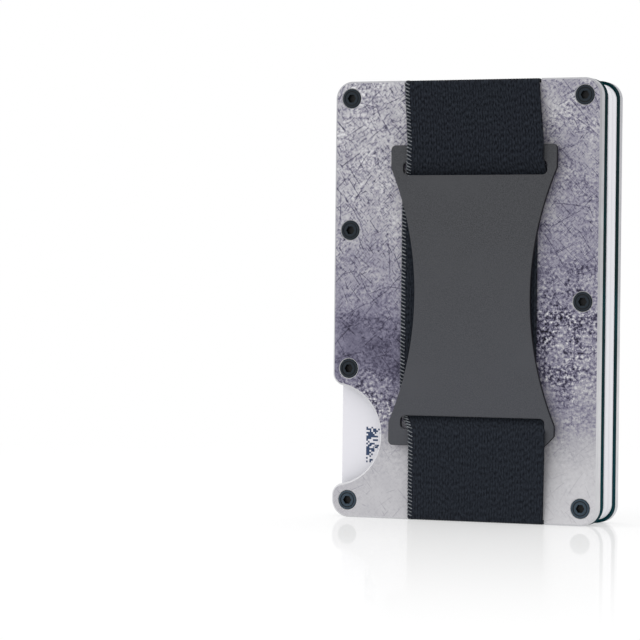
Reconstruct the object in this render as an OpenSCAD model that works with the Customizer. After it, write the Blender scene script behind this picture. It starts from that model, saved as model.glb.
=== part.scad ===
// Card wallet: two screwed metal halves, joined by elastic bands, clamp a stack of cards.
// An elastic strap round the back outer plate carries a flat clip that holds notes.
// The wallet stands on a short end. X is its width, Y its thickness, Z its length.
// The origin is the middle of the bounding box's bottom. The clip is on the -Y side.

/* [Plates] */
// Width of all four plates
plate_w = 55.4; // [55.4:0.2:58]
// Length of all four plates
plate_h = 87; // [87:0.5:90]
// Radius of the plates' four corners
corner_r = 3.5; // [2.5:0.5:5]
// Thickness of a printed outer plate
outer_t = 2.1; // [1.9:0.1:2.6]
// Thickness of a dark inner plate
inner_t = 2.0; // [1.4:0.1:2.4]
// Bevel round the outer face of an outer plate
bevel = 0.35; // [0.2:0.05:0.5]

/* [Thumb notch] */
// Radius of the notch
notch_r = 10; // [8:0.5:11]
// Height of the notch's centre above the bottom end
notch_z = 16.5; // [16:0.5:18]
// How far the notch's centre lies inside the long side
notch_inset = 0.2; // [0:0.1:0.8]
// Radius of the rounded mouth of the notch
mouth_r = 2.5; // [1.5:0.5:2.5]

/* [Cards] */
// Width of a card
card_w = 54; // [53.5:0.1:54]
// Length of a card
card_h = 85.6; // [85:0.1:85.6]
// Thickness of a card
card_t = 0.76; // [0.7:0.02:0.8]
// Corner radius of a card
card_r = 3.18; // [2.5:0.1:3.5]
// How far the cards lie inside the open long side
card_inset = 0.1; // [0.1:0.02:0.12]
// How much further in the first card lies than the others
first_in = 0.7; // [0:0.1:0.7]

/* [Elastic bands] */
// Thickness of a band that joins the two halves
band_t = 0.5; // [0.3:0.05:0.5]
// Width of the bands over the two short ends
end_band_w = 34; // [26:1:36]
// Width of the band on the notch side
side_band_w = 17; // [10:1:18]
// Length of each band's tail between the plates
tail_l = 10; // [6:1:10]

/* [Cash strap] */
// Width of the elastic strap
strap_w = 27.8; // [24:0.1:27.8]
// Thickness of the elastic strap
strap_t = 0.9; // [0.7:0.05:1]
// How far the strap's middle lies towards the open side
strap_x = 2.1; // [2.1:0.1:2.4]
// How much nearer the open side the strap lies at its bottom fold than at its top fold
strap_slant = 1.6; // [0:0.1:1.6]

/* [Cash clip] */
// Width over the clip's ears
clip_w = 34.4; // [33.6:0.2:38]
// Width of the clip's waist
clip_waist = 24; // [20:0.5:27]
// Length of the clip
clip_h = 59.3; // [52:0.1:62]
// Thickness of the clip
clip_t = 0.9; // [0.7:0.1:1.2]
// How far the clip's middle lies towards the open side
clip_x = 2.2; // [1.8:0.1:2.4]
// Height of the clip's middle above the bottom end
clip_z = 44.4; // [42:0.1:45]
// Corner that is cut off the lower ear on the open side
ear_cut = 2.5; // [1:0.1:2.6]
// Width of the two slots for the strap
slot_w = 29.8; // [29.6:0.1:30]
// How far the slots' middle lies towards the open side
slot_x = 2.5; // [2.4:0.1:2.6]
// Height of the two slots for the strap
slot_h = 2.8; // [2.4:0.1:3]
// Height of the bars outside the slots
bar_h = 3.15; // [2.5:0.05:3.5]

/* [Screws] */
// Radius of a screw's countersunk head
head_r = 1.92; // [1.8:0.02:2.1]
// Radius of a screw's shank
shank_r = 0.98; // [0.8:0.02:1]
// Width across the flats of the hexagonal socket
socket_af = 1.55; // [1.3:0.05:1.6]
// Distance of the screws from the long sides
screw_inset = 3.4; // [3.2:0.1:4]
// Distance of the outermost screws from the plates' middle
screw_span = 40.1; // [39.5:0.1:40.3]
// Distance of the notch side's two inner screws from the middle
screw_mid = 13.8; // [13.6:0.1:14.4]

/* [Hidden] */
$fn = 64;

// Small clearances
card_gap = 0.02;
fit_gap = 0.02;
lie_gap = 0.05;
side_room = 0.15;
strap_room = 0.2;

// How far a cutter reaches past what it cuts
cut = 1;

// How far arcs that blend into their neighbours overlap them, so that they cross cleanly
blend = 0.02;

// Layers from the clip's outermost face at -Y to the front face at +Y
card_count = 8;
stack_t = card_count * card_t + (card_count + 1) * card_gap;
body_t = 2 * (outer_t + inner_t) + stack_t;
clip_back = 2 * lie_gap + strap_t;
clip_front = clip_back + clip_t;
strap_over = clip_front + fit_gap;
proud = strap_over + strap_t;
depth = body_t + proud;
front_y = depth / 2;
back_y = front_y - body_t;
back_seam = back_y + outer_t;
front_seam = front_y - outer_t;
back_wall = back_seam + inner_t;

// Heights of the clip's ends and slots
clip_top = clip_z + clip_h / 2;
clip_bottom = clip_z - clip_h / 2;
top_slot = clip_top - bar_h;
bottom_slot = clip_bottom + bar_h;

// How the strap bends at a bar: clear of its edge, and through the slot on a slope
turn = 0.4;
slot_room = 0.1;
slope_in = 0.6 * slot_h;
slope_out = slot_h - slot_room;

// The clip's corners, and the round sides of its waist
ear_r = 0.9;
ear_h = 4.55;
slot_r = 1;
waist_dx = (clip_w - clip_waist) / 2;
waist_dz = clip_h / 2 - ear_h;
waist_r = (pow(waist_dz, 2) + pow(waist_dx, 2)) / (2 * waist_dx);
waist_fn = 256;

// Thumb notch
notch_x = -plate_w / 2 + notch_inset;
mouth_x = -plate_w / 2 + mouth_r;
mouth_dz = sqrt(pow(notch_r + mouth_r, 2) - pow(mouth_r - notch_inset, 2));
mouth_angle = acos((mouth_r - notch_inset) / (notch_r + mouth_r));

// Screws: three on the open side, four on the notch side
screw_x = plate_w / 2 - screw_inset;
mid_z = plate_h / 2;
side_band_z = plate_h - notch_z;
SCREWS = [
  [screw_x, mid_z + screw_span], [screw_x, mid_z], [screw_x, mid_z - screw_span],
  [-screw_x, mid_z + screw_span], [-screw_x, mid_z + screw_mid],
  [-screw_x, mid_z - screw_mid], [-screw_x, mid_z - screw_span]
];
head_land = 0.2;
head_h = head_land + head_r - shank_r;
screw_short = 0.3;
screw_l = outer_t + inner_t - screw_short;
socket_depth = 0.75;
head_edge = 0.12;
groove_r = 1.3;
groove_w = 0.2;
groove_h = 0.1;
socket_r = socket_af / sqrt(3);
hole_r = shank_r + fit_gap;
shank_room = 0.12;
outer_hole_r = shank_r + shank_room;
lip = 0.15;

// Extrudes an outline drawn in X and Z from y0 to y1
module slab(y0, y1) {
  translate([0, y1, 0]) rotate([90, 0, 0]) linear_extrude(height = y1 - y0) children();
}

// Extrudes an outline drawn in Y and Z over a width w, centred on x
module across(x, w) {
  translate([x - w / 2, 0, 0]) rotate([90, 0, 90]) linear_extrude(height = w) children();
}

// Rectangle from the corner [a0, b0] to the corner [a1, b1]
module frame_2d(a0, b0, a1, b1) {
  translate([a0, b0]) square([a1 - a0, b1 - b0]);
}

// Rectangle with round corners, centred on [x, z]
module rounded_2d(x, z, w, h, r) {
  frame_2d(x - w / 2, z - h / 2 + r, x + w / 2, z + h / 2 - r);
  frame_2d(x - w / 2 + r, z - h / 2, x + w / 2 - r, z + h / 2);
  for (sx = [-1, 1])
    for (sz = [-1, 1])
      translate([x + sx * (w / 2 - r), z + sz * (h / 2 - r)]) circle(r);
}

module notch_2d() {
  translate([notch_x, notch_z]) circle(notch_r);
  difference() {
    polygon([
      [-plate_w / 2 - cut, notch_z - mouth_dz], [mouth_x, notch_z - mouth_dz],
      [notch_x, notch_z],
      [mouth_x, notch_z + mouth_dz], [-plate_w / 2 - cut, notch_z + mouth_dz]
    ]);
    for (s = [-1, 1])
      translate([mouth_x, notch_z + s * mouth_dz]) circle(mouth_r + blend);
  }
}

module plate_2d() {
  difference() {
    rounded_2d(0, mid_z, plate_w, plate_h, corner_r);
    notch_2d();
  }
}

// Bevel cutter for a straight edge along X, at the end of a plate that lies towards -Z
module end_cutter() {
  across(0, plate_w + 2 * cut) polygon([[-cut, -bevel - cut], [bevel + cut, cut], [-cut, cut]]);
}

// Bevel cutter for a straight edge along Z, on the side of a plate that lies towards -X
module side_cutter() {
  translate([0, 0, -cut]) linear_extrude(height = plate_h + 2 * cut)
    polygon([[-bevel - cut, -cut], [cut, bevel + cut], [cut, -cut]]);
}

// Bevel cutter for an arc of radius r that bulges out of the plate, from angle a0 over angle a
module arc_cutter(r, a0, a) {
  rotate([90, 0, 0]) rotate([0, 0, a0]) rotate_extrude(angle = a)
    polygon([[r - bevel - cut, cut], [r + cut, -bevel - cut], [r + cut, cut]]);
}

// All bevels of an outer plate whose outer face is at y = 0
module bevel_cutters() {
  for (s = [0, 1])
    translate([0, 0, s * plate_h]) mirror([0, 0, 1 - s]) end_cutter();
  for (s = [0, 1])
    mirror([s, 0, 0]) translate([plate_w / 2, 0, 0]) side_cutter();
  for (i = [0 : 3])
    translate([
      (i == 0 || i == 3 ? 1 : -1) * (plate_w / 2 - corner_r), 0,
      i < 2 ? plate_h - corner_r : corner_r
    ]) arc_cutter(corner_r + blend, 90 * i, 90);
  translate([mouth_x, 0, notch_z + mouth_dz])
    arc_cutter(mouth_r + blend, 180, mouth_angle);
  translate([mouth_x, 0, notch_z - mouth_dz])
    arc_cutter(mouth_r + blend, 180 - mouth_angle, mouth_angle);
  translate([notch_x, bevel + cut, notch_z]) rotate([90, 0, 0])
    cylinder(h = bevel + 2 * cut, r1 = notch_r + blend - cut, r2 = notch_r + blend + bevel + cut);
}

// Stands its children along +Y at each screw's place
module at_screws() {
  for (p = SCREWS) translate([p[0], 0, p[1]]) rotate([-90, 0, 0]) children();
}

// Countersunk hole along +Z, with its mouth at z = 0
module countersunk_hole() {
  rotate_extrude() polygon([
    [0, -cut], [head_r + fit_gap + lip + cut, -cut], [head_r + fit_gap, lip],
    [head_r + fit_gap, head_land + fit_gap], [outer_hole_r, head_h + fit_gap - shank_room],
    [outer_hole_r, outer_t + cut], [0, outer_t + cut]
  ]);
}

// Outer plate with its outer face at y = 0 and its inner face at y = outer_t
module outer_plate() {
  difference() {
    slab(0, outer_t) plate_2d();
    bevel_cutters();
    at_screws() countersunk_hole();
  }
}

// Slants its children as the strap lies, more towards the open side the lower they are
module slanted() {
  k = strap_slant / plate_h;
  multmatrix([[1, 0, -k, k * mid_z], [0, 1, 0, 0], [0, 0, 1, 0]]) children();
}

// Channel for the strap: round both ends and along the inner face of the back outer plate
module strap_channel() {
  w = strap_w / 2 + strap_room;
  slab(outer_t - strap_t - 2 * fit_gap, outer_t + cut)
    frame_2d(strap_x - w, -cut, strap_x + w, plate_h + cut);
  for (z = [-cut, plate_h - strap_t - 2 * fit_gap])
    slab(-cut, outer_t + cut)
      frame_2d(strap_x - w, z, strap_x + w, z + strap_t + 2 * fit_gap + cut);
}

module back_outer_plate() {
  color("silver") translate([0, back_y, 0]) difference() {
    outer_plate();
    slanted() strap_channel();
  }
}

module front_outer_plate() {
  color("silver") translate([0, front_y, 0]) mirror([0, 1, 0]) outer_plate();
}

// Inner plate with its pockets for the bands at y = 0 and its card side at y = inner_t
module inner_plate() {
  pocket = band_t + 2 * fit_gap;
  relief = band_t + 2 * lie_gap;
  w = end_band_w / 2 + side_room;
  difference() {
    slab(0, inner_t) plate_2d();
    at_screws() translate([0, 0, -cut]) cylinder(h = inner_t + 2 * cut, r = hole_r);
    for (s = [0, 1]) translate([0, 0, s * plate_h]) mirror([0, 0, s]) {
      slab(-cut, pocket) frame_2d(-w, -cut, w, tail_l + side_room);
      slab(-cut, inner_t + cut) frame_2d(-w, -cut, w, relief);
    }
    translate([-plate_w / 2, 0, side_band_z]) {
      slab(-cut, pocket)
        frame_2d(-cut, -side_band_w / 2 - side_room,
                 tail_l + side_room, side_band_w / 2 + side_room);
      slab(-cut, inner_t + cut)
        frame_2d(-cut, -side_band_w / 2 - side_room, relief, side_band_w / 2 + side_room);
    }
  }
}

module back_inner_plate() {
  color([0.09, 0.14, 0.15]) translate([0, back_seam, 0]) inner_plate();
}

module front_inner_plate() {
  color([0.09, 0.14, 0.15]) translate([0, front_seam, 0]) mirror([0, 1, 0]) inner_plate();
}

// Card number i, counted from the back inner plate
module card(i) {
  y0 = back_wall + card_gap + (i - 1) * (card_t + card_gap);
  edge_x = plate_w / 2 - card_inset - (i == 1 ? first_in : 0);
  color("white") slab(y0, y0 + card_t)
    rounded_2d(edge_x - card_w / 2, mid_z, card_w, card_h, card_r);
}

// Section of a band from one half to the other: y along the first axis, and the way in along
// the second, from the wallet's edge at 0
module band_2d() {
  difference() {
    frame_2d(back_seam + fit_gap, lie_gap, front_seam - fit_gap, tail_l);
    frame_2d(back_seam + fit_gap + band_t, lie_gap + band_t,
             front_seam - fit_gap - band_t, tail_l + cut);
  }
}

module end_band_bottom() {
  color([0.1, 0.1, 0.11]) across(0, end_band_w) band_2d();
}

module end_band_top() {
  translate([0, 0, plate_h]) mirror([0, 0, 1]) end_band_bottom();
}

module side_band() {
  color([0.1, 0.1, 0.11])
    translate([-plate_w / 2, 0, side_band_z]) rotate([0, 90, 0]) across(0, side_band_w) band_2d();
}

// The strap inside the back half, with its folds over the plate's two ends
module strap_anchor() {
  y0 = back_y - fit_gap - strap_t;
  y1 = back_seam - fit_gap;
  color([0.12, 0.13, 0.16]) slanted() across(strap_x, strap_w) difference() {
    frame_2d(y0, fit_gap, y1, plate_h - fit_gap);
    frame_2d(y0 - cut, fit_gap + strap_t, y1 - strap_t, plate_h - fit_gap - strap_t);
  }
}

// The strap from a fold to the clip's bar and over it; s is 1 for the upper end, -1 for the lower
module strap_outer_run(s) {
  fold_z = s > 0 ? plate_h - 2 * fit_gap - strap_t : 2 * fit_gap + strap_t;
  edge_z = s > 0 ? clip_top : clip_bottom;
  end_z = s > 0 ? top_slot : bottom_slot;
  color([0.12, 0.13, 0.16]) slanted() across(strap_x, strap_w) polygon([
    [back_y - fit_gap, fold_z], [back_y - strap_over, edge_z + s * turn],
    [back_y - strap_over, end_z], [back_y - strap_over - strap_t, end_z],
    [back_y - strap_over - strap_t, edge_z + s * 2 * turn],
    [back_y - fit_gap - strap_t, fold_z]
  ]);
}

module strap_upper_run() {
  strap_outer_run(1);
}

module strap_lower_run() {
  strap_outer_run(-1);
}

// The strap through the two slots and behind the clip
module strap_middle_run() {
  color([0.12, 0.13, 0.16]) slanted() across(strap_x, strap_w) polygon([
    [back_y - strap_over, top_slot - fit_gap], [back_y - lie_gap, top_slot - slope_in],
    [back_y - lie_gap, bottom_slot + slope_in], [back_y - strap_over, bottom_slot + fit_gap],
    [back_y - strap_over - strap_t, bottom_slot + fit_gap],
    [back_y - strap_over - strap_t, bottom_slot + turn],
    [back_y - lie_gap - strap_t, bottom_slot + slope_out],
    [back_y - lie_gap - strap_t, top_slot - slope_out],
    [back_y - strap_over - strap_t, top_slot - turn],
    [back_y - strap_over - strap_t, top_slot - fit_gap]
  ]);
}

module clip_2d() {
  difference() {
    rounded_2d(clip_x, clip_z, clip_w, clip_h, ear_r);
    for (s = [-1, 1])
      translate([clip_x + s * (clip_waist / 2 + waist_r), clip_z]) circle(waist_r, $fn = waist_fn);
    for (z = [top_slot - slot_h / 2, bottom_slot + slot_h / 2])
      rounded_2d(slot_x, z, slot_w, slot_h, slot_r);
    translate([clip_x + clip_w / 2, clip_bottom])
      polygon([[-ear_cut - cut, -cut], [cut, ear_cut + cut], [cut, -cut]]);
  }
}

module cash_clip() {
  color([0.31, 0.31, 0.32]) slab(back_y - clip_front, back_y - clip_back) clip_2d();
}

// Countersunk screw along +Z, with its head's face at z = 0 and a hexagonal socket
module screw() {
  color([0.08, 0.1, 0.11]) difference() {
    rotate_extrude() polygon([
      [0, 0], [groove_r, 0], [groove_r, groove_h], [groove_r + groove_w, groove_h],
      [groove_r + groove_w, 0], [head_r - head_edge, 0], [head_r, head_edge],
      [head_r, head_land], [shank_r, head_h], [shank_r, screw_l], [0, screw_l]
    ]);
    translate([0, 0, -cut]) cylinder(h = cut + socket_depth, r = socket_r, $fn = 6);
  }
}

module back_screw(i) {
  translate([SCREWS[i - 1][0], back_y, SCREWS[i - 1][1]]) rotate([-90, 0, 0]) screw();
}

module front_screw(i) {
  translate([SCREWS[i - 1][0], front_y, SCREWS[i - 1][1]]) rotate([90, 0, 0]) screw();
}

back_outer_plate();
back_inner_plate();
front_inner_plate();
front_outer_plate();
card(1);  // card_1
card(2);  // card_2
card(3);  // card_3
card(4);  // card_4
card(5);  // card_5
card(6);  // card_6
card(7);  // card_7
card(8);  // card_8
end_band_top();
end_band_bottom();
side_band();
strap_anchor();
strap_upper_run();
strap_middle_run();
strap_lower_run();
cash_clip();
back_screw(1);  // back_screw_1
back_screw(2);  // back_screw_2
back_screw(3);  // back_screw_3
back_screw(4);  // back_screw_4
back_screw(5);  // back_screw_5
back_screw(6);  // back_screw_6
back_screw(7);  // back_screw_7
front_screw(1);  // front_screw_1
front_screw(2);  // front_screw_2
front_screw(3);  // front_screw_3
front_screw(4);  // front_screw_4
front_screw(5);  // front_screw_5
front_screw(6);  // front_screw_6
front_screw(7);  // front_screw_7
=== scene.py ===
import math
import random

import bpy
from mathutils import Matrix, Vector


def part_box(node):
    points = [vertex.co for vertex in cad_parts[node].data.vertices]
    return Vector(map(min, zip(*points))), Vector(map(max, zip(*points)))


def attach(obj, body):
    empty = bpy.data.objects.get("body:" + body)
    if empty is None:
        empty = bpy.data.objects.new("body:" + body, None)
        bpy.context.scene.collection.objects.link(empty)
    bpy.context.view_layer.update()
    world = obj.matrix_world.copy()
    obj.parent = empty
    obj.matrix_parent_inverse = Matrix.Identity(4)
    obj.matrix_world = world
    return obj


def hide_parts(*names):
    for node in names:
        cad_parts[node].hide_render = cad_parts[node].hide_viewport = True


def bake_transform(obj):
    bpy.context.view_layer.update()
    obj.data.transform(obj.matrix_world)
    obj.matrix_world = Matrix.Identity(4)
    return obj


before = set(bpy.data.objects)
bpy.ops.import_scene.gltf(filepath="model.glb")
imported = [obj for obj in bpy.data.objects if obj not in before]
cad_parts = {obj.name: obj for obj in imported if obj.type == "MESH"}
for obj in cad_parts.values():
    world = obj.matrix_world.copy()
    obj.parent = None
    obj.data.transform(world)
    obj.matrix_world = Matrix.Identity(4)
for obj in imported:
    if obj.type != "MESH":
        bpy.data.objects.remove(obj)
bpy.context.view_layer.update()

# Card wallet of printed metal plates, seen from the side that carries the strap and the clip.
# Everything is in metres, in the CAD frame: X is the width, Y the thickness, Z the length.

scene = bpy.context.scene
MM = 0.001
SCREEN_GAMMA = 2.2

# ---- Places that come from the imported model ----
plate_low, plate_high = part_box("back_outer_plate")
front_face_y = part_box("front_outer_plate")[1].y
first_card_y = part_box("card_1")[0].y
last_card_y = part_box("card_8")[0].y
anchor_low, anchor_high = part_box("strap_anchor")
upper_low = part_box("strap_upper_run")[0]
lower_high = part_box("strap_lower_run")[1]
middle_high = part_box("strap_middle_run")[1]
clip_low, clip_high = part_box("cash_clip")
top_band_low, top_band_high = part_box("end_band_top")
bottom_band_low, bottom_band_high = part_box("end_band_bottom")
side_band_low, side_band_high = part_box("side_band")
card_count = len([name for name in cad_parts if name.startswith("card_")])
screw_names = [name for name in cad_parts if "_screw_" in name]

# ---- Camera: where it stands round the wallet, and where it looks ----
CAMERA_TURN = math.radians(19.637)
CAMERA_DISTANCE = 0.5758
CAMERA_HEIGHT = 0.04233
LOOK_TURN = math.radians(22.454)
LOOK_TILT = math.radians(-0.298)
LOOK_ROLL = math.radians(0.661)
LENS = 164.44
SENSOR = 36.0

# ---- Strap ----
FIT = 0.02 * MM
STRAP_THICKNESS = clip_low.y - FIT - upper_low.y
STRAP_MIDDLE = (anchor_low.x + anchor_high.x) / 2
PATH_STEP = 0.3 * MM
HIDDEN_STEP = 0.6 * MM
FOLD_RADIUS = 0.5 * MM
BEND_RADIUS = 1.1 * MM
# Edges of the strap from its middle, left and right, in mm: it lies askew and narrows behind the clip
STRAP_EDGES = {
    "top": (-14.88, 13.15), "upper": (-13.50, 14.75), "slot": (-14.38, 15.20), "behind": (-15.15, 13.10),
    "lower": (-12.60, 15.60), "bottom": (-13.28, 14.85),
}
# How far the strap's corners lie out from the clip's ends and bars, and in from the slots' far edges
PAST_CLIP = 0.5 * MM
PAST_BAR = 0.2 * MM
SLOT_ROOM = 0.4 * MM
# From the clip's ends in to where the strap's middle part begins
MIDDLE_INSET = 9.5 * MM

# ---- Webbing of the strap and the bands ----
RIB_PITCH = 0.6 * MM
RIB_DEPTH = 0.03 * MM
RIB_SAMPLES = 4
SWAY = 0.06
SWAY_LENGTH = 1.5 * MM
EDGE_THINNESS = 0.08
BAND_THICKNESS = 0.5 * MM
BAND_FOLD = 0.3 * MM

# ---- Overlock stitches ----
STITCH_PITCH = 0.72 * MM
STITCH_REACH = 1.05 * MM
STITCH_LEAN = 0.42 * MM
STITCH_WRAP = 0.10 * MM
STITCH_OUT = 0.04 * MM
STITCH_MARGIN = 0.2 * MM
THREAD_RADIUS = 0.125 * MM

# ---- Arcs of the strap's and the bands' paths ----
# Turn from point to point in radians, share of a line that an arc may take, distance that counts as none
ARC_TURN = 0.2
LINE_SHARE = 0.49
SAME_PLACE = 1e-7

# ---- Clip: sizes of its plate, its ears and its two slots ----
CLIP_BEVEL = 0.18 * MM
CLIP_BAR = 3.15 * MM
CLIP_EAR = 4.55 * MM
CLIP_EAR_RADIUS = 0.9 * MM
CLIP_CUT = 2.5 * MM
CLIP_WAIST = 24.0 * MM
SLOT_WIDTH = 29.8 * MM
SLOT_HEIGHT = 2.8 * MM
SLOT_SHIFT = 0.3 * MM
SLOT_RADIUS = 1.0 * MM
WAIST_PIECES, EAR_PIECES, SLOT_PIECES = 48, 8, 6
CLIP_SHARP_ANGLE = math.radians(35)
SLOT_MIDDLES = (clip_high.z - CLIP_BAR - SLOT_HEIGHT / 2, clip_low.z + CLIP_BAR + SLOT_HEIGHT / 2)

# ---- Print on the outer plates: lengths in mm, places on the face as (X, Z) ----
PLATE_LENGTH = 87.0
# Tone and strength of the flecks up the plate, as (share of its length, value)
PRINT_TONE = [(0.0, 0.755), (0.12, 0.735), (0.24, 0.645), (0.42, 0.635), (0.68, 0.662), (1.0, 0.672)]
FLECK_AMOUNT = [(0.0, 0.06), (0.12, 0.14), (0.24, 0.60), (0.36, 0.55), (0.55, 0.55), (1.0, 0.85)]
# Soft darker patches: centre, reach, how much darker. The torn ones have ragged outlines
TORN_PATCHES = (((5.0, 38.0), (14.0, 14.0), 0.27), ((-18.0, 33.2), (17.0, 9.6), 0.24))
SOFT_PATCHES = (
    ((23.0, 47.0), (10.0, 34.0), 0.12), ((-24.0, 52.0), (13.0, 6.5), 0.07), ((21.0, 23.0), (9.0, 6.5), 0.045),
)
# Where the flecks are coarse and dark: centre, reach
COARSE_PATCHES = (((20.0, 37.5), (13.0, 14.5)), ((6.0, 34.0), (16.0, 9.5)), ((-20.0, 24.0), (12.0, 5.0)))
# Two families of short dashes: angle, shift of their field
DASHES = ((0.85, 3.3), (-0.80, 17.9))
DASH_SHAPE = (1.05, 4.6, 1.0)
# Layers of scratches: cell, reach, width, angle, spread of the angle, shift of the field, share kept
SCRATCHES = (
    (3.4, 3.4, 0.11, 0.95, 0.6, 11.3, 0.7), (3.2, 3.0, 0.10, -0.6, 0.9, 23.9, 0.7),
    (7.0, 6.5, 0.13, 0.95, 0.5, 41.7, 0.8), (6.4, 6.0, 0.12, -0.7, 0.6, 73.3, 0.8),
    (11.0, 9.0, 0.13, 0.9, 2.4, 57.1, 0.8),
)
# Silver grey where the print is light, indigo where it is dark: (tone, colour)
PRINT_COLOURS = [
    (0.0, (0.06, 0.055, 0.09)), (0.25, (0.25, 0.24, 0.31)), (0.45, (0.45, 0.44, 0.512)),
    (0.55, (0.55, 0.542, 0.593)), (0.63, (0.63, 0.625, 0.652)), (0.72, (0.72, 0.716, 0.731)),
    (1.0, (1.0, 1.0, 1.0)),
]

# ---- Cards: patch of dots on their faces, in mm ----
DOT = 0.36
DOTS_LEFT, DOTS_RIGHT = -21.97, -14.0
DOTS_LOW, DOTS_HIGH = 10.0, 18.0

# ---- Floor and light ----
FLOOR_SIZE = 8.0
FLOOR_DROP = 0.02 * MM
FLOOR_WHITE = (0.93, 0.93, 0.93, 1.0)
# The mirror image: its strength, and from where to where it dies away
REFLECTION = 0.23
REFLECTION_FOOT = 0.02
REFLECTION_REACH = 0.215
REFLECTION_ROUGHNESS = 0.035
# The floor's own light rises from this far out to that far, between these two shares
FLOOR_GLOW = (0.02, 0.30, 0.62, 1.0)
# Name, place, size, power
LIGHTS = (
    ("key", (-0.55, -0.35, 0.35), 0.5, 1.3),
    ("top", (0.0, 0.1, 0.8), 0.6, 0.7),
)
WHITE = (1.0, 1.0, 1.0, 1.0)


# ---- Node trees ----

class Shader:
    """A material's node tree, with one short call for each kind of node."""

    def __init__(self, name):
        self.material = bpy.data.materials.new(name)
        self.material.use_nodes = True
        self.tree = self.material.node_tree
        self.surface = self.tree.nodes["Principled BSDF"]
        place = self.add("TexCoord")
        self.object, self.normal = place.outputs["Object"], place.outputs["Normal"]

    def add(self, kind, inputs=None, **settings):
        node = self.tree.nodes.new("ShaderNode" + kind)
        for name, value in settings.items():
            setattr(node, name, value)
        for name, value in (inputs or {}).items():
            self.feed(node.inputs[name], value)
        return node

    def feed(self, socket, value):
        if isinstance(value, bpy.types.NodeSocket):
            self.tree.links.new(value, socket)
        else:
            socket.default_value = value

    def set(self, **values):
        for name, value in values.items():
            self.feed(self.surface.inputs[name.replace("_", " ")], value)

    def math(self, operation, *values, clamp=False):
        return self.add("Math", dict(enumerate(values)), operation=operation, use_clamp=clamp).outputs[0]

    def vector(self, operation, *values):
        return self.add("VectorMath", dict(enumerate(values)), operation=operation).outputs[0]

    def length(self, value):
        return self.add("VectorMath", {0: value}, operation="LENGTH").outputs["Value"]

    def split(self, value):
        return self.add("SeparateXYZ", {0: value}).outputs

    def in_mm(self):
        """X, Y and Z on the object, in millimetres."""
        return self.split(self.vector("MULTIPLY", self.object, (1 / MM,) * 3))

    def facing(self):
        """1 on faces square to Y, 0 on faces along it."""
        return self.math("ABSOLUTE", self.split(self.normal)[1])

    def join(self, x, y, z=0.0):
        return self.add("CombineXYZ", {0: x, 1: y, 2: z}).outputs[0]

    def turn(self, value, angle):
        node = self.add("VectorRotate", {"Vector": value, "Angle": angle}, rotation_type="Z_AXIS")
        return node.outputs[0]

    def fade(self, value, start, end, low=0.0, high=1.0):
        """Turns smoothly from low to high as value goes from start to end."""
        node = self.add("MapRange", {0: value, 1: start, 2: end, 3: low, 4: high})
        node.interpolation_type = "SMOOTHSTEP"
        return node.outputs[0]

    def noise(self, place, scale, detail=2.0, roughness=0.5, colour=False):
        inputs = {"Vector": place, "Scale": scale, "Detail": detail, "Roughness": roughness}
        return self.add("TexNoise", inputs).outputs[1 if colour else 0]

    def curve(self, value, stops, interpolation="EASE"):
        """A curve through (place, height) or (place, colour) stops."""
        node = self.add("ValToRGB", {0: value})
        node.color_ramp.interpolation = interpolation
        elements = node.color_ramp.elements
        while len(elements) < len(stops):
            elements.new(0.5)
        for element, (place, _) in zip(elements, stops):
            element.position = place
        for element, (_, height) in zip(elements, stops):
            colour = height if hasattr(height, "__len__") else (height,) * 3
            element.color = (*colour, 1.0)
        return node.outputs[0]

    def mix(self, factor, first, second):
        node = self.add("Mix", data_type="RGBA")
        self.feed(node.inputs[0], factor)
        self.feed(node.inputs[6], first)
        self.feed(node.inputs[7], second)
        return node.outputs[2]

    def gamma(self, colour):
        return self.add("Gamma", {0: colour, 1: SCREEN_GAMMA}).outputs[0]

    def bump(self, height, distance, strength=1.0):
        inputs = {"Height": height, "Distance": distance, "Strength": strength}
        self.set(Normal=self.add("Bump", inputs).outputs[0])


def screen(red, green, blue):
    """A colour given as on a screen, 0 to 255, as linear light."""
    return tuple((c / 255) ** SCREEN_GAMMA for c in (red, green, blue)) + (1.0,)


# ---- Materials ----

def scratch_layer(s, place, cell, reach, width, angle, spread, shift, share):
    """Straight scratches, one at most in each cell of a loose grid: 1 on a scratch, 0 elsewhere."""
    moved = s.vector("ADD", place, (shift, shift * 1.7, 0.0))
    cells = s.add("TexVoronoi", {"Vector": moved, "Scale": 1.0 / cell}, voronoi_dimensions="2D")
    chance = s.split(cells.outputs["Color"])
    turned = s.math("MULTIPLY_ADD", chance[0], spread, angle - spread / 2)
    local = s.turn(s.vector("SUBTRACT", moved, cells.outputs["Position"]), turned)
    along, across, _ = s.split(local)
    bend = s.math("MULTIPLY", s.math("MULTIPLY", along, along), 0.01)
    off = s.math("ABSOLUTE", s.math("ADD", across, bend))
    line = s.fade(off, width, width * 0.35)
    end = s.math("MULTIPLY", chance[1], reach)
    line = s.math("MULTIPLY", line, s.fade(s.math("ABSOLUTE", along), end, s.math("MULTIPLY", end, 0.6)))
    kept = s.math("LESS_THAN", chance[2], share)
    return s.math("MULTIPLY", line, kept)


def blob(s, face, centre, reach):
    """1 at the centre of a soft oval patch, falling to 0 around it."""
    away = s.vector("DIVIDE", s.vector("SUBTRACT", face, (*centre, 0.0)), (*reach, 1.0))
    square = s.add("VectorMath", {0: away, 1: away}, operation="DOT_PRODUCT").outputs["Value"]
    return s.math("EXPONENT", s.math("MULTIPLY", square, -1.0))


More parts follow.
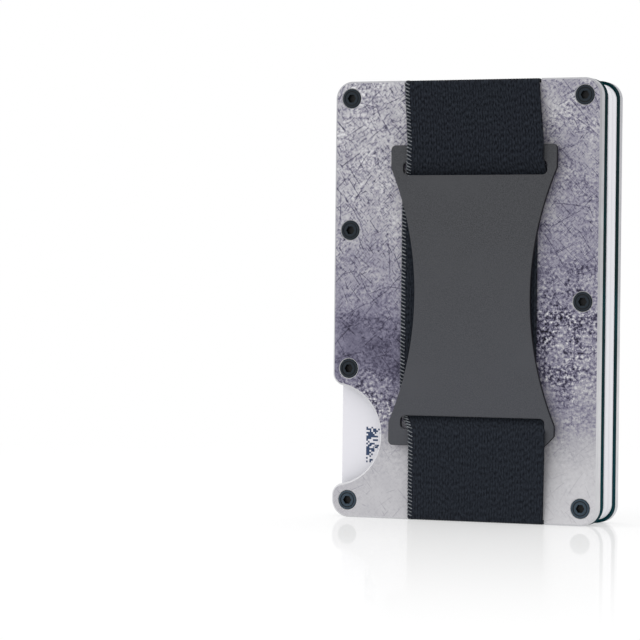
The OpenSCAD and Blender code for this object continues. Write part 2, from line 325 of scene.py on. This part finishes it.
def printed_metal():
    """Worn print of silver grey, indigo haze and scratches on the flat faces, and bare metal elsewhere, with
    painted light on the bare metal and across the print's width.
    """
    s = Shader("printed_aluminium")
    x, _, z = s.in_mm()
    face = s.join(x, z)
    up = s.math("DIVIDE", z, PLATE_LENGTH)
    drift = s.vector("SUBTRACT", s.noise(face, 0.13, 3.0, 0.6, colour=True), (0.5, 0.5, 0.5))
    warped = s.vector("ADD", face, s.vector("MULTIPLY", drift, (14.0, 14.0, 0.0)))

    # Broad tone: light at both ends, two dark patches across the middle, haze up the open side
    tone = s.curve(up, PRINT_TONE)
    for field, patches in ((warped, TORN_PATCHES), (face, SOFT_PATCHES)):
        for centre, reach, darker in patches:
            tone = s.math("MULTIPLY_ADD", blob(s, field, centre, reach), -darker, tone)
    # Painted light: near the bottom end the print is lighter towards +X and darker towards -X, against the
    # key light from -X; near the top the slope turns slightly the other way.
    tone = s.math("MULTIPLY_ADD", x, s.fade(z, 20.0, 62.0, 0.0016, -0.0004), tone)

    # Flecks: even over the upper part, coarse and dark across the open side's middle, faint at the bottom
    fleck = s.noise(face, 1.5, 2.0, 0.65)
    fine = s.math("MINIMUM", s.math("SUBTRACT", fleck, 0.5), 0.09)
    patchy = s.fade(s.noise(face, 0.16, 3.0, 0.65), 0.36, 0.64, 0.35, 1.55)
    amount = s.math("MULTIPLY", s.curve(up, FLECK_AMOUNT), patchy)
    tone = s.math("MULTIPLY_ADD", fine, amount, tone)
    cloud = s.math("SUBTRACT", s.noise(s.vector("ADD", face, (7.7, 3.1, 0.0)), 0.22, 4.0, 0.6), 0.5)
    tone = s.math("MULTIPLY_ADD", cloud, s.fade(z, 6.0, 26.0, 0.08, 0.34), tone)
    rough = 0.0
    for centre, reach in COARSE_PATCHES:
        rough = s.math("MAXIMUM", rough, blob(s, warped, centre, reach))
    elsewhere = s.vector("ADD", face, (31.7, 12.1, 0.0))
    grit = s.math("SUBTRACT", s.noise(elsewhere, 1.5, 2.0, 0.65), 0.5)
    clump = s.math("SUBTRACT", s.noise(elsewhere, 0.28, 3.0, 0.6), 0.52)
    strong = s.fade(clump, 0.10, -0.06, 1.0, 2.3)
    gritty = s.math("MULTIPLY_ADD", grit, strong, s.math("MULTIPLY", clump, 0.9))
    tone = s.math("MULTIPLY_ADD", gritty, rough, tone)

    # Short dashes where the print is worn, and longer single scratches
    wear_and_painted_light = s.math("MULTIPLY", s.fade(z, 22.0, 66.0, 0.10, 1.0), s.fade(x, 8.0, 18.0, 1.0, 0.6))
    for angle, shift in DASHES:
        turned = s.turn(s.vector("ADD", face, (shift, shift, 0.0)), angle)
        dash = s.fade(s.noise(s.vector("MULTIPLY", turned, DASH_SHAPE), 0.85, 1.0), 0.58, 0.66)
        tone = s.math("MULTIPLY_ADD", s.math("MULTIPLY", dash, wear_and_painted_light), -0.23, tone)
    cut = 0.0
    for layer in SCRATCHES:
        cut = s.math("MAXIMUM", cut, scratch_layer(s, face, *layer))
    cut = s.math("MULTIPLY", cut, s.fade(s.noise(face, 0.9, 2.0), 0.3, 0.6, 0.3, 1.0))
    strength = s.math("MULTIPLY", s.fade(z, 16.0, 66.0, 0.08, 0.33), s.fade(x, 8.0, 18.0, 1.0, 0.65))
    tone = s.math("SUBTRACT", tone, s.math("MULTIPLY", cut, strength), clamp=True)

    # Bare metal on the bevels and the sides, with painted light: lighter towards the bottom end, as the white
    # floor lights it, and the bevels and the sides in different tones for the light that falls on each
    colour = s.curve(tone, PRINT_COLOURS, "LINEAR")
    flat = s.facing()
    printed = s.fade(flat, 0.90, 0.97)
    grain = s.noise(s.vector("MULTIPLY", s.object, (2500.0, 300.0, 300.0)), 1.0, 2.0)
    low = s.fade(z, 52.0, 18.0)
    side = s.mix(low, s.mix(grain, screen(158, 158, 163), screen(184, 184, 188)),
                 s.mix(grain, screen(184, 184, 187), screen(212, 212, 215)))
    rim = s.mix(low, s.mix(grain, screen(154, 154, 158), screen(176, 176, 180)),
                s.mix(grain, screen(190, 190, 193), screen(210, 210, 213)))
    bare_metal_with_painted_light = s.mix(s.fade(flat, 0.2, 0.6), side, rim)
    s.set(Base_Color=s.mix(printed, bare_metal_with_painted_light, s.gamma(colour)), Specular_IOR_Level=0.2)
    s.set(Metallic=s.math("MULTIPLY_ADD", printed, -0.05, 0.20))
    s.set(Roughness=s.math("MULTIPLY_ADD", fine, 0.25, 0.42))
    s.bump(s.math("MULTIPLY_ADD", cut, -1.0, s.math("MULTIPLY", fleck, 0.3)), 0.03 * MM, 0.5)
    return s.material


def inner_plate_shade():
    """Inner plates: near black with a green-blue cast and brushed along the plate, a painted shade that
    stands for the dark gap between the outer plate and the cards; painted light makes it lighter and bluer
    towards the bottom end.
    """
    s = Shader("inner_plate_painted_shade")
    brushed = s.noise(s.vector("MULTIPLY", s.object, (9000.0, 9000.0, 400.0)), 1.0, 3.0, 0.6)
    cloud = s.noise(s.object, 60.0, 2.0)
    # Painted shade: the near black colour stands in for the shadow in the gap between the outer plate and the
    # cards
    colour = s.mix(brushed, screen(2, 24, 25), screen(10, 44, 46))
    # Painted light: lighter and bluer towards the bottom end, as the white floor lights it; the cloud adds
    # random tone on top
    low = s.fade(s.split(s.object)[2], 50 * MM, 10 * MM, 0.0, 0.45)
    colour = s.mix(s.fade(cloud, 0.4, 0.7, low, 0.8), colour, screen(12, 54, 61))
    s.set(Base_Color=colour, Specular_IOR_Level=0.01)
    s.set(Roughness=s.math("MULTIPLY_ADD", brushed, 0.25, 0.55))
    s.bump(brushed, 0.01 * MM, 0.4)
    return s.material


def card_plastic():
    """Laminated white cards: each has a core and a rim along its edge, painted shade in the seam where it
    meets the next card, and a patch of dots on its faces.
    """
    s = Shader("card_plastic")
    x, y, z = s.in_mm()
    pitch = (last_card_y - first_card_y) / MM / (card_count - 1)
    layer = s.math("DIVIDE", s.math("SUBTRACT", y, first_card_y / MM), pitch)
    number = s.math("FLOOR", layer)
    off_core = s.math("ABSOLUTE", s.math("SUBTRACT", s.math("SUBTRACT", layer, number), 0.49))
    chance = s.add("TexWhiteNoise", {"W": number}, noise_dimensions="1D").outputs["Value"]
    core = s.mix(chance, screen(206, 206, 212), screen(224, 224, 229))
    edge = s.mix(s.fade(off_core, 0.30, 0.36), core, screen(236, 236, 240))
    # Painted shade: a grey line where one card meets the next
    edge = s.mix(s.fade(off_core, 0.43, 0.49), edge, screen(176, 176, 186))
    flat = s.fade(s.facing(), 0.5, 0.9)

    # Dots stand in for the printed code of a real card
    cells = s.vector("FLOOR", s.vector("DIVIDE", s.join(x, z), (DOT, DOT, 1.0)))
    dice = s.add("TexWhiteNoise", {"Vector": cells}, noise_dimensions="2D").outputs["Value"]
    wide = s.math("MULTIPLY", s.fade(x, DOTS_LEFT, DOTS_LEFT + 0.02), s.fade(x, DOTS_RIGHT, DOTS_RIGHT - 0.1))
    tall = s.math("MULTIPLY", s.fade(z, DOTS_LOW, DOTS_LOW + 0.1), s.fade(z, DOTS_HIGH, DOTS_HIGH - 0.1))
    sparse = s.math("SUBTRACT", s.fade(x, -21.0, -19.8, 0.68, 0.88), s.fade(z, 11.0, 16.0, 0.0, 0.28))
    dots = s.math("MULTIPLY", s.math("MULTIPLY", wide, tall), s.math("GREATER_THAN", dice, sparse))
    face = s.mix(dots, screen(224, 223, 229), screen(48, 66, 96))
    s.set(Base_Color=s.mix(flat, edge, face), Roughness=0.38, Specular_IOR_Level=0.3)
    s.bump(s.noise(s.object, 3000.0, 2.0), 0.004 * MM, 0.3)
    return s.material


def screw_steel():
    """Blackened steel with a blue-green cast, with painted light that makes it lighter towards the bottom end
    and painted shade that makes it black in the sockets.
    """
    s = Shader("black_steel")
    grain = s.noise(s.object, 4000.0, 3.0, 0.6)
    _, y, z = s.split(s.object)
    middle = (plate_low.y + front_face_y) / 2
    depth = s.math("SUBTRACT", front_face_y - middle, s.math("ABSOLUTE", s.math("SUBTRACT", y, middle)))
    # Painted light: the heads get lighter towards the bottom end, as the white floor lights them
    wear_and_painted_light = s.fade(z, 30 * MM, 4 * MM)
    face = s.mix(wear_and_painted_light, s.mix(grain, screen(14, 21, 28), screen(32, 43, 52)),
                 s.mix(grain, screen(36, 48, 58), screen(62, 76, 88)))
    # Painted shade: near black where the surface lies deeper than about 0.1 mm under the plate's face, in the
    # sockets
    colour = s.mix(s.fade(depth, 0.04 * MM, 0.12 * MM), face, screen(5, 9, 13))
    s.set(Base_Color=colour, Specular_IOR_Level=0.25)
    s.set(Roughness=s.math("MULTIPLY_ADD", grain, 0.2, 0.30))
    s.bump(grain, 0.006 * MM, 0.5)
    return s.material


def clip_coat():
    """Fine matte grey coat with small light and dark specks, painted light that makes it lighter towards the
    bottom end, painted shade on its edges, and a painted highlight on the slots' upper and lower edges.
    """
    s = Shader("matte_grey_coat")
    speck = s.noise(s.object, 5200.0, 2.0, 0.7)
    cloud = s.noise(s.object, 70.0, 3.0)
    colour = s.mix(s.fade(speck, 0.3, 0.7), screen(54, 55, 58), screen(74, 75, 78))
    colour = s.mix(s.fade(cloud, 0.45, 0.75), colour, screen(68, 69, 72))
    z = s.split(s.object)[2]
    # Painted light: lighter and bluer towards the bottom end, as the white floor lights it
    colour = s.mix(s.fade(z, 70 * MM, 15 * MM, 0.0, 0.35), colour, screen(78, 80, 87))
    # Painted shade on the bevels and the sides, and a painted highlight on the slot edges that face up and
    # down
    _, flat, level = s.split(s.vector("ABSOLUTE", s.normal))
    slot = 0.0
    for middle in SLOT_MIDDLES:
        slot = s.math("ADD", slot, s.math("COMPARE", z, middle, SLOT_HEIGHT / 2 + 0.25 * MM))
    slot = s.math("MULTIPLY", slot, s.fade(level, 0.4, 0.7))
    edge = s.mix(slot, screen(26, 26, 30), screen(100, 101, 104))
    colour = s.mix(s.fade(flat, 0.45, 0.9), edge, colour)
    s.set(Base_Color=colour, Specular_IOR_Level=0.2)
    s.set(Roughness=s.math("MULTIPLY_ADD", speck, 0.2, 0.48))
    s.bump(speck, 0.01 * MM, 0.6)
    return s.material


def elastic(name, dark, light, knit_pitch):
    """Ribbed elastic webbing, with painted shade in the grooves between its ribs and painted light towards
    the bottom end. The weave attribute holds the place across and along it, in metres.
    """
    s = Shader(name)
    weave = s.add("Attribute", attribute_name="weave").outputs["Vector"]
    across, along, _ = s.split(s.vector("DIVIDE", weave, (RIB_PITCH, knit_pitch, 1.0)))
    row = s.math("FLOOR", across)
    shift = s.add("TexWhiteNoise", {"W": row}, noise_dimensions="1D").outputs["Value"]
    stitch = s.math("SINE", s.math("MULTIPLY", s.math("ADD", along, shift), 2 * math.pi))
    # Painted shade: the crown term also darkens the colour in the grooves between ribs, besides shaping the
    # bump
    crown = s.math("SINE", s.math("MULTIPLY", s.math("SUBTRACT", across, row), math.pi))
    fibre = s.noise(s.vector("MULTIPLY", weave, (3600.0, 1300.0, 1.0)), 1.0, 3.0, 0.65)
    loop = s.math("MULTIPLY_ADD", stitch, 0.03, s.math("MULTIPLY", crown, 0.08))
    height_and_groove_shade = s.math("MULTIPLY_ADD", fibre, 0.9, loop)
    # Painted light: the webbing gets lighter towards the bottom end, as the white floor lights it
    lower = s.fade(s.split(s.object)[2], 36 * MM, 10 * MM, 0.0, 0.15)
    s.set(Base_Color=s.mix(s.math("ADD", s.fade(height_and_groove_shade, 0.27, 0.75), lower), dark, light))
    s.set(Roughness=0.9, Specular_IOR_Level=0.05, Sheen_Weight=0.04, Sheen_Roughness=0.5)
    s.bump(height_and_groove_shade, 0.05 * MM, 0.7)
    return s.material


def thread():
    """Grey overlock thread, twisted from two strands."""
    s = Shader("grey_thread")
    twist = s.noise(s.object, 5200.0, 2.0)
    colour = s.mix(s.fade(twist, 0.35, 0.65), screen(72, 76, 80), screen(138, 141, 145))
    s.set(Base_Color=colour, Roughness=0.7, Specular_IOR_Level=0.2)
    s.bump(twist, 0.03 * MM, 0.6)
    return s.material


# ---- Mesh work ----

def rounded_path(corners, step):
    """Points about a step apart on the lines between corners (point, radius), with an arc at each corner."""
    points = []
    for i, (here, radius) in enumerate(corners):
        if i in (0, len(corners) - 1):
            arc = [here]
        else:
            back = corners[i - 1][0] - here
            on = corners[i + 1][0] - here
            reach_back, reach_on = back.length, on.length
            back.normalize()
            on.normalize()
            half = back.angle(on) / 2
            reach = min(radius / math.tan(half), reach_back * LINE_SHARE, reach_on * LINE_SHARE)
            real = reach * math.tan(half)
            centre = here + (back + on).normalized() * (real / math.sin(half))
            sweep = math.pi - 2 * half
            count = max(2, int(sweep * real / step) + 1, int(sweep / ARC_TURN))
            first, last = here + back * reach - centre, here + on * reach - centre
            arc = []
            for k in range(count + 1):
                t = k / count
                a = math.sin((1 - t) * sweep) / math.sin(sweep)
                b = math.sin(t * sweep) / math.sin(sweep)
                arc.append(centre + first * a + last * b)
        if points:
            start = points[-1]
            run = (arc[0] - start).length
            pieces = max(1, int(run / step))
            points += [start.lerp(arc[0], (k + 1) / pieces) for k in range(pieces - 1)]
        points += arc
    clean = [points[0]]
    for p in points[1:]:
        if (p - clean[-1]).length > SAME_PLACE:
            clean.append(p)
    return clean


def path_frame(points):
    """For each point: its distance along the path, and the path's normal, square to X and to the path."""
    distance, run, normals = [0.0], 0.0, []
    for a, b in zip(points, points[1:]):
        run += (b - a).length
        distance.append(run)
    for i in range(len(points)):
        ahead, behind = points[min(i + 1, len(points) - 1)], points[max(i - 1, 0)]
        t = ahead - behind
        normals.append(Vector((0.0, -t.z, t.y)).normalized())
    return distance, normals


def mesh_object(name, points, faces, material, smooth=True):
    mesh = bpy.data.meshes.new(name)
    mesh.from_pydata(points, [], faces)
    mesh.validate()
    mesh.update()
    for polygon in mesh.polygons:
        polygon.use_smooth = smooth
    obj = bpy.data.objects.new(name, mesh)
    scene.collection.objects.link(obj)
    mesh.materials.append(material)
    return obj


def webbing(name, path, widths, thickness, material, start=0.0):
    """Ribbed webbing swept along a path in Y and Z, with its width along X and rounded edges."""
    distance, normals = path_frame(path)
    ribs = round(max(widths) / RIB_PITCH)
    samples = ribs * RIB_SAMPLES
    half = thickness / 2
    section = [(k / samples, 1) for k in range(samples + 1)]
    section += [(1 - k / samples, -1) for k in range(samples + 1)]
    draws = random.Random(7)
    phases = [draws.uniform(0, 2 * math.pi) for _ in range(ribs + 1)]
    points, weave = [], []
    for centre, run, normal, width in zip(path, distance, normals, widths):
        for share, side in section:
            place = share * ribs
            edge = min(place, ribs - place)
            along = run + start
            phase = phases[int(min(place, ribs - 1))]
            sway = SWAY * math.sin(2 * math.pi * along / SWAY_LENGTH + phase)
            rib = 0.5 - 0.5 * math.cos(2 * math.pi * (place + sway * min(edge, 1.0)))
            thin = half - RIB_DEPTH * (1 - rib)
            round_off = math.sqrt(max(0.0, 1 - (1 - min(edge * RIB_PITCH / half, 1.0)) ** 2))
            thin *= round_off * (1 - EDGE_THINNESS) + EDGE_THINNESS
            points.append(centre + Vector(((share - 0.5) * width, 0, 0)) + normal * (side * thin))
            weave.append((place * RIB_PITCH, along, 0.0))
    ring = len(section)
    faces = []
    for i in range(len(path) - 1):
        for k in range(ring):
            j = (k + 1) % ring
            faces.append((i * ring + k, i * ring + j, (i + 1) * ring + j, (i + 1) * ring + k))
    for base in (0, (len(path) - 1) * ring):
        for k in range(samples):
            quad = (base + k, base + k + 1, base + ring - 2 - k, base + ring - 1 - k)
            faces.append(quad if base else quad[::-1])
    obj = mesh_object(name, points, faces, material)
    layer = obj.data.attributes.new("weave", "FLOAT_VECTOR", "POINT")
    layer.data.foreach_set("vector", [c for w in weave for c in w])
    return obj, distance[-1]


def sample(path, distance, run):
    """The point on a path at that distance along it, after the number of the stretch it lies on."""
    for i in range(len(path) - 1):
        if distance[i + 1] >= run:
            share = (run - distance[i]) / max(distance[i + 1] - distance[i], 1e-9)
            return i, path[i].lerp(path[i + 1], share)
    return len(path) - 2, path[-1]


def edge_stitches(name, path, widths, thickness, material, down):
    """Overlock stitches round the -X edge: each one leans, and wraps the edge to the other face."""
    distance, normals = path_frame(path)
    data = bpy.data.curves.new(name, "CURVE")
    data.dimensions = "3D"
    data.bevel_depth = THREAD_RADIUS
    data.bevel_resolution = 1
    data.resolution_u = 2
    draws = random.Random(11)
    half = thickness / 2
    count = int((distance[-1] - STITCH_MARGIN) / STITCH_PITCH)
    for n in range(count):
        run = (n + 0.5) * STITCH_PITCH
        lean = STITCH_LEAN * down
        reach = STITCH_REACH * draws.uniform(0.92, 1.05)
        # On one face, round the edge and back on the other: way in, face, place along, share of the height
        leg = [(reach, run + lean, 0.75), (reach * 0.5, run + lean * 0.45, 1.02), (STITCH_WRAP, run, 0.80)]
        spots = [(inward, 1, place, out) for inward, place, out in leg]
        spots.append((-STITCH_OUT, 0, run, 0.0))
        spots += [(inward, -1, place, out) for inward, place, out in reversed(leg)]
        spline = data.splines.new("NURBS")
        spline.points.add(len(spots) - 1)
        spline.order_u = 3
        spline.use_endpoint_u = True
        for point, (inward, side, place, out) in zip(spline.points, spots):
            i, centre = sample(path, distance, min(max(place, 0.0), distance[-1]))
            where = centre + Vector((inward - widths[i] / 2, 0, 0)) + normals[i] * (side * half * out)
            point.co = (*where, 1.0)
    return curve_to_mesh(name, data, material)


def curve_to_mesh(name, data, material):
    data.materials.append(material)
    maker = bpy.data.objects.new(name + "_maker", data)
    scene.collection.objects.link(maker)
    bpy.context.view_layer.update()
    mesh = bpy.data.meshes.new_from_object(maker.evaluated_get(bpy.context.evaluated_depsgraph_get()))
    bpy.data.objects.remove(maker)
    mesh.name = name
    obj = bpy.data.objects.new(name, mesh)
    scene.collection.objects.link(obj)
    return obj


# ---- Strap ----

def strap_corners():
    """The strap's closed route from inside the wallet over the top end and round the clip to the bottom
    end, as corners (point, radius). A point holds the left edge's X, then Y and Z, then the right edge's X.
    The strap lies a little askew, as elastic does."""
    half = STRAP_THICKNESS / 2
    inside_y = anchor_high.y - half
    outside_y = anchor_low.y + half
    over_y = upper_low.y + half
    behind_y = middle_high.y - half
    top, bottom = anchor_high.z - half, anchor_low.z + half
    fold, bend = FOLD_RADIUS, BEND_RADIUS

    def at(level, y, z):
        left, right = STRAP_EDGES[level]
        return Vector((STRAP_MIDDLE + left * MM, y, z, STRAP_MIDDLE + right * MM))

    fold_y = (inside_y + outside_y) / 2
    upper_slot = upper_low.z - SLOT_HEIGHT + SLOT_ROOM
    lower_slot = lower_high.z + SLOT_HEIGHT - SLOT_ROOM
    upper = [
        (at("top", fold_y, top), 0), (at("top", outside_y, top), fold),
        (at("upper", over_y, clip_high.z + PAST_CLIP), bend),
        (at("upper", over_y, upper_low.z + PAST_BAR), bend),
        (at("slot", behind_y, upper_slot), bend), (at("behind", behind_y, clip_high.z - MIDDLE_INSET), 0),
    ]
    middle = [(upper[-1][0], 0), (at("behind", behind_y, clip_low.z + MIDDLE_INSET), 0)]
    lower = [
        (middle[-1][0], 0), (at("slot", behind_y, lower_slot), bend),
        (at("lower", over_y, lower_high.z - PAST_BAR), bend),
        (at("lower", over_y, clip_low.z - PAST_CLIP), bend),
        (at("bottom", outside_y, bottom), fold), (at("bottom", fold_y, bottom), 0),
    ]
    inner = [
        (at("bottom", fold_y, bottom), 0), (at("bottom", inside_y, bottom), fold),
        (at("top", inside_y, top), fold), (at("top", fold_y, top), 0),
    ]
    return {"upper": upper, "middle": middle, "lower": lower, "inner": inner}


def make_strap(elastic_material, thread_material):
    replaced = {"upper": "strap_upper_run", "middle": "strap_middle_run",
                "lower": "strap_lower_run", "inner": "strap_anchor"}
    thickness = STRAP_THICKNESS - 2 * FIT
    start = 0.0
    for part, corners in strap_corners().items():
        route = rounded_path(corners, PATH_STEP if part != "inner" else HIDDEN_STEP)
        path = [Vector(((p[0] + p[3]) / 2, p[1], p[2])) for p in route]
        widths = [p[3] - p[0] for p in route]
        name = "strap_" + part
        piece, length = webbing(name + "_webbing", path, widths, thickness, elastic_material, start)
        stitching = edge_stitches(name + "_stitching", path, widths, thickness,
                                  thread_material, 1.0 if part != "inner" else -1.0)
        start += length
        for obj in (piece, stitching):
            if part == "middle":
                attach(obj, "clip")
            elif part == "inner":
                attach(obj, "back_half")
            else:
                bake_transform(obj)
        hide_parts(replaced[part])


# ---- Bands between the halves ----

def band_path(low, high, closed_end):
    """The band's U between the halves, as points in Y and Z: its closed end is up for 1 and down for -1."""
    half = BAND_THICKNESS / 2
    near, far = low.y + half, high.y - half
    if closed_end > 0:
        tip, crest = low.z, high.z - half
    else:
        tip, crest = high.z, low.z + half
    x = (low.x + high.x) / 2
    corners = [(Vector((x, near, tip)), 0), (Vector((x, near, crest)), BAND_FOLD),
               (Vector((x, far, crest)), BAND_FOLD), (Vector((x, far, tip)), 0)]
    return rounded_path(corners, PATH_STEP)


def make_bands(material):
    for part, low, high, closed_end in (
        ("end_band_top", top_band_low, top_band_high, 1),
        ("end_band_bottom", bottom_band_low, bottom_band_high, -1),
    ):
        path = band_path(low, high, closed_end)
        widths = [high.x - low.x] * len(path)
        piece, length = webbing(part + "_webbing", path, widths, BAND_THICKNESS - 2 * FIT, material)
        finish_band(piece, part)
    low, high = side_band_low, side_band_high
    # The side band is made as an end band in a frame turned about Y, and then turned into place
    middle = (low.z + high.z) / 2
    turned_low = Vector((-(high.z - low.z) / 2, low.y, low.x))
    turned_high = Vector(((high.z - low.z) / 2, high.y, high.x))
    path = band_path(turned_low, turned_high, -1)
    widths = [high.z - low.z] * len(path)
    piece, length = webbing("side_band_webbing", path, widths, BAND_THICKNESS - 2 * FIT, material)
    turn = Matrix(((0, 0, 1, 0), (0, 1, 0, 0), (-1, 0, 0, middle), (0, 0, 0, 1)))
    piece.data.transform(turn)
    finish_band(piece, "side_band")


def finish_band(piece, node):
    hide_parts(node)
    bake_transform(piece)


# ---- Clip ----

def arc_points(centre, radius, first, last, count):
    """Points on an arc in X and Z, from one angle to another in degrees."""
    angles = [math.radians(first + (last - first) * k / count) for k in range(count + 1)]
    return [(centre[0] + radius * math.cos(a), centre[1] + radius * math.sin(a)) for a in angles]


def clip_outline():
    """The clip's outer edge, centred on the clip: round ears, one of them with its corner cut off, and a
    waist that is one arc on each side."""
    half_w, half_h = (clip_high.x - clip_low.x) / 2, (clip_high.z - clip_low.z) / 2
    r = CLIP_EAR_RADIUS
    dx = half_w - CLIP_WAIST / 2
    dz = half_h - CLIP_EAR
    waist = (dz * dz + dx * dx) / (2 * dx)
    sweep = math.degrees(math.asin(dz / waist))
    right = arc_points((CLIP_WAIST / 2 + waist, 0), waist, 180 + sweep, 180 - sweep, WAIST_PIECES)
    quarter = arc_points((half_w - r, half_h - r), r, 0, 90, EAR_PIECES)
    upper_right = right + quarter
    upper_left = [(-px, pz) for px, pz in reversed(upper_right)]
    lower_right = [(half_w - CLIP_CUT, -half_h), (half_w, CLIP_CUT - half_h)]
    lower_left = [(-px, -pz) for px, pz in quarter]
    return upper_right + upper_left + lower_left + lower_right


def slot_outline(z):
    """A slot's edge, with its middle at that height over the clip's middle."""
    half_w, half_h = SLOT_WIDTH / 2 - SLOT_RADIUS, SLOT_HEIGHT / 2 - SLOT_RADIUS
    points = []
    for first, sx, sz in ((0, 1, 1), (90, -1, 1), (180, -1, -1), (270, 1, -1)):
        centre = (SLOT_SHIFT + sx * half_w, z + sz * half_h)
        points += arc_points(centre, SLOT_RADIUS, first, first + 90, SLOT_PIECES)
    return points


def make_clip(material):
    """A flat plate with two slots and rounded edges, filled and bevelled as a 2D curve."""
    half_h = (clip_high.z - clip_low.z) / 2
    thickness = clip_high.y - clip_low.y
    slot_z = half_h - CLIP_BAR - SLOT_HEIGHT / 2
    data = bpy.data.curves.new("cash_clip_plate", "CURVE")
    data.dimensions = "2D"
    data.fill_mode = "BOTH"
    data.extrude = thickness / 2 - CLIP_BEVEL
    data.bevel_depth = CLIP_BEVEL
    data.bevel_resolution = 2
    data.offset = -CLIP_BEVEL
    for outline in (clip_outline(), slot_outline(slot_z), slot_outline(-slot_z)):
        spline = data.splines.new("POLY")
        spline.points.add(len(outline) - 1)
        spline.use_cyclic_u = True
        for point, (px, pz) in zip(spline.points, outline):
            point.co = (px, pz, 0, 1)
    clip = curve_to_mesh("cash_clip_plate", data, material)
    middle = (clip_low + clip_high) / 2
    clip.data.transform(Matrix.Translation(middle) @ Matrix.Rotation(math.radians(90), 4, "X"))
    for polygon in clip.data.polygons:
        polygon.use_smooth = True
    clip.data.set_sharp_from_angle(angle=CLIP_SHARP_ANGLE)
    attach(clip, "clip")
    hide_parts("cash_clip")


# ---- Floor, light and camera ----

def floor_material():
    """White, with a faint mirror image of the wallet that dies away from its foot."""
    s = Shader("white_floor")
    s.set(Base_Color=FLOOR_WHITE, Roughness=0.9, Specular_IOR_Level=0.0)
    gloss = s.add("BsdfAnisotropic", {"Color": WHITE, "Roughness": REFLECTION_ROUGHNESS})
    reach = s.length(s.object)
    amount = s.fade(reach, REFLECTION_REACH, REFLECTION_FOOT, 0.0, REFLECTION)
    glow = s.add("Emission", {"Color": WHITE, "Strength": 1.0})
    far = s.fade(reach, *FLOOR_GLOW)
    plain = s.add("MixShader", {0: far, 1: s.surface.outputs[0], 2: glow.outputs[0]})
    both = s.add("MixShader", {0: amount, 1: plain.outputs[0], 2: gloss.outputs[0]})
    s.tree.links.new(both.outputs[0], s.tree.nodes["Material Output"].inputs["Surface"])
    return s.material


def make_floor():
    half = FLOOR_SIZE / 2
    corners = [(-half, -half, 0), (half, -half, 0), (half, half, 0), (-half, half, 0)]
    floor = mesh_object("floor", corners, [(0, 1, 2, 3)], floor_material(), smooth=False)
    floor.location.z = plate_low.z - FLOOR_DROP


def make_light(name, place, size, power):
    data = bpy.data.lights.new(name, "AREA")
    data.shape = "RECTANGLE"
    data.size = data.size_y = size
    data.energy = power
    lamp = bpy.data.objects.new(name, data)
    scene.collection.objects.link(lamp)
    lamp.location = place
    target = Vector((0, 0, plate_high.z / 2))
    lamp.rotation_euler = (target - lamp.location).to_track_quat("-Z", "Y").to_euler()


def make_world():
    world = bpy.data.worlds.new("studio")
    world.use_nodes = True
    background = world.node_tree.nodes["Background"]
    background.inputs["Color"].default_value = WHITE
    background.inputs["Strength"].default_value = 1.0
    scene.world = world


def make_camera():
    data = bpy.data.cameras.new("camera")
    data.lens = LENS
    data.sensor_width = SENSOR
    data.clip_start, data.clip_end = 0.01, 20.0
    camera = bpy.data.objects.new("camera", data)
    scene.collection.objects.link(camera)
    place = Vector((math.sin(CAMERA_TURN) * CAMERA_DISTANCE,
                    plate_low.y - math.cos(CAMERA_TURN) * CAMERA_DISTANCE, CAMERA_HEIGHT))
    ahead = Vector((-math.sin(LOOK_TURN) * math.cos(LOOK_TILT),
                    math.cos(LOOK_TURN) * math.cos(LOOK_TILT), math.sin(LOOK_TILT)))
    level = Vector((math.cos(LOOK_TURN), math.sin(LOOK_TURN), 0.0))
    over = level.cross(ahead)
    right = level * math.cos(LOOK_ROLL) + over * math.sin(LOOK_ROLL)
    up = over * math.cos(LOOK_ROLL) - level * math.sin(LOOK_ROLL)
    turned = Matrix((right, up, -ahead)).transposed().to_4x4()
    camera.matrix_world = Matrix.Translation(place) @ turned
    scene.camera = camera


def paint(names, material):
    for name in names:
        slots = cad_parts[name].data.materials
        slots.clear()
        slots.append(material)


make_camera()
make_world()
make_floor()
for light in LIGHTS:
    make_light(*light)

paint(["back_outer_plate", "front_outer_plate"], printed_metal())
paint(["back_inner_plate", "front_inner_plate"], inner_plate_shade())
paint(["card_%d" % (i + 1) for i in range(card_count)], card_plastic())
paint(screw_names, screw_steel())

make_strap(elastic("strap_elastic", screen(14, 16, 21), screen(45, 49, 56), 1.3 * MM), thread())
make_bands(elastic("band_elastic", screen(12, 12, 14), screen(40, 40, 44), 0.9 * MM))
make_clip(clip_coat())

scene.view_settings.view_transform = "Standard"
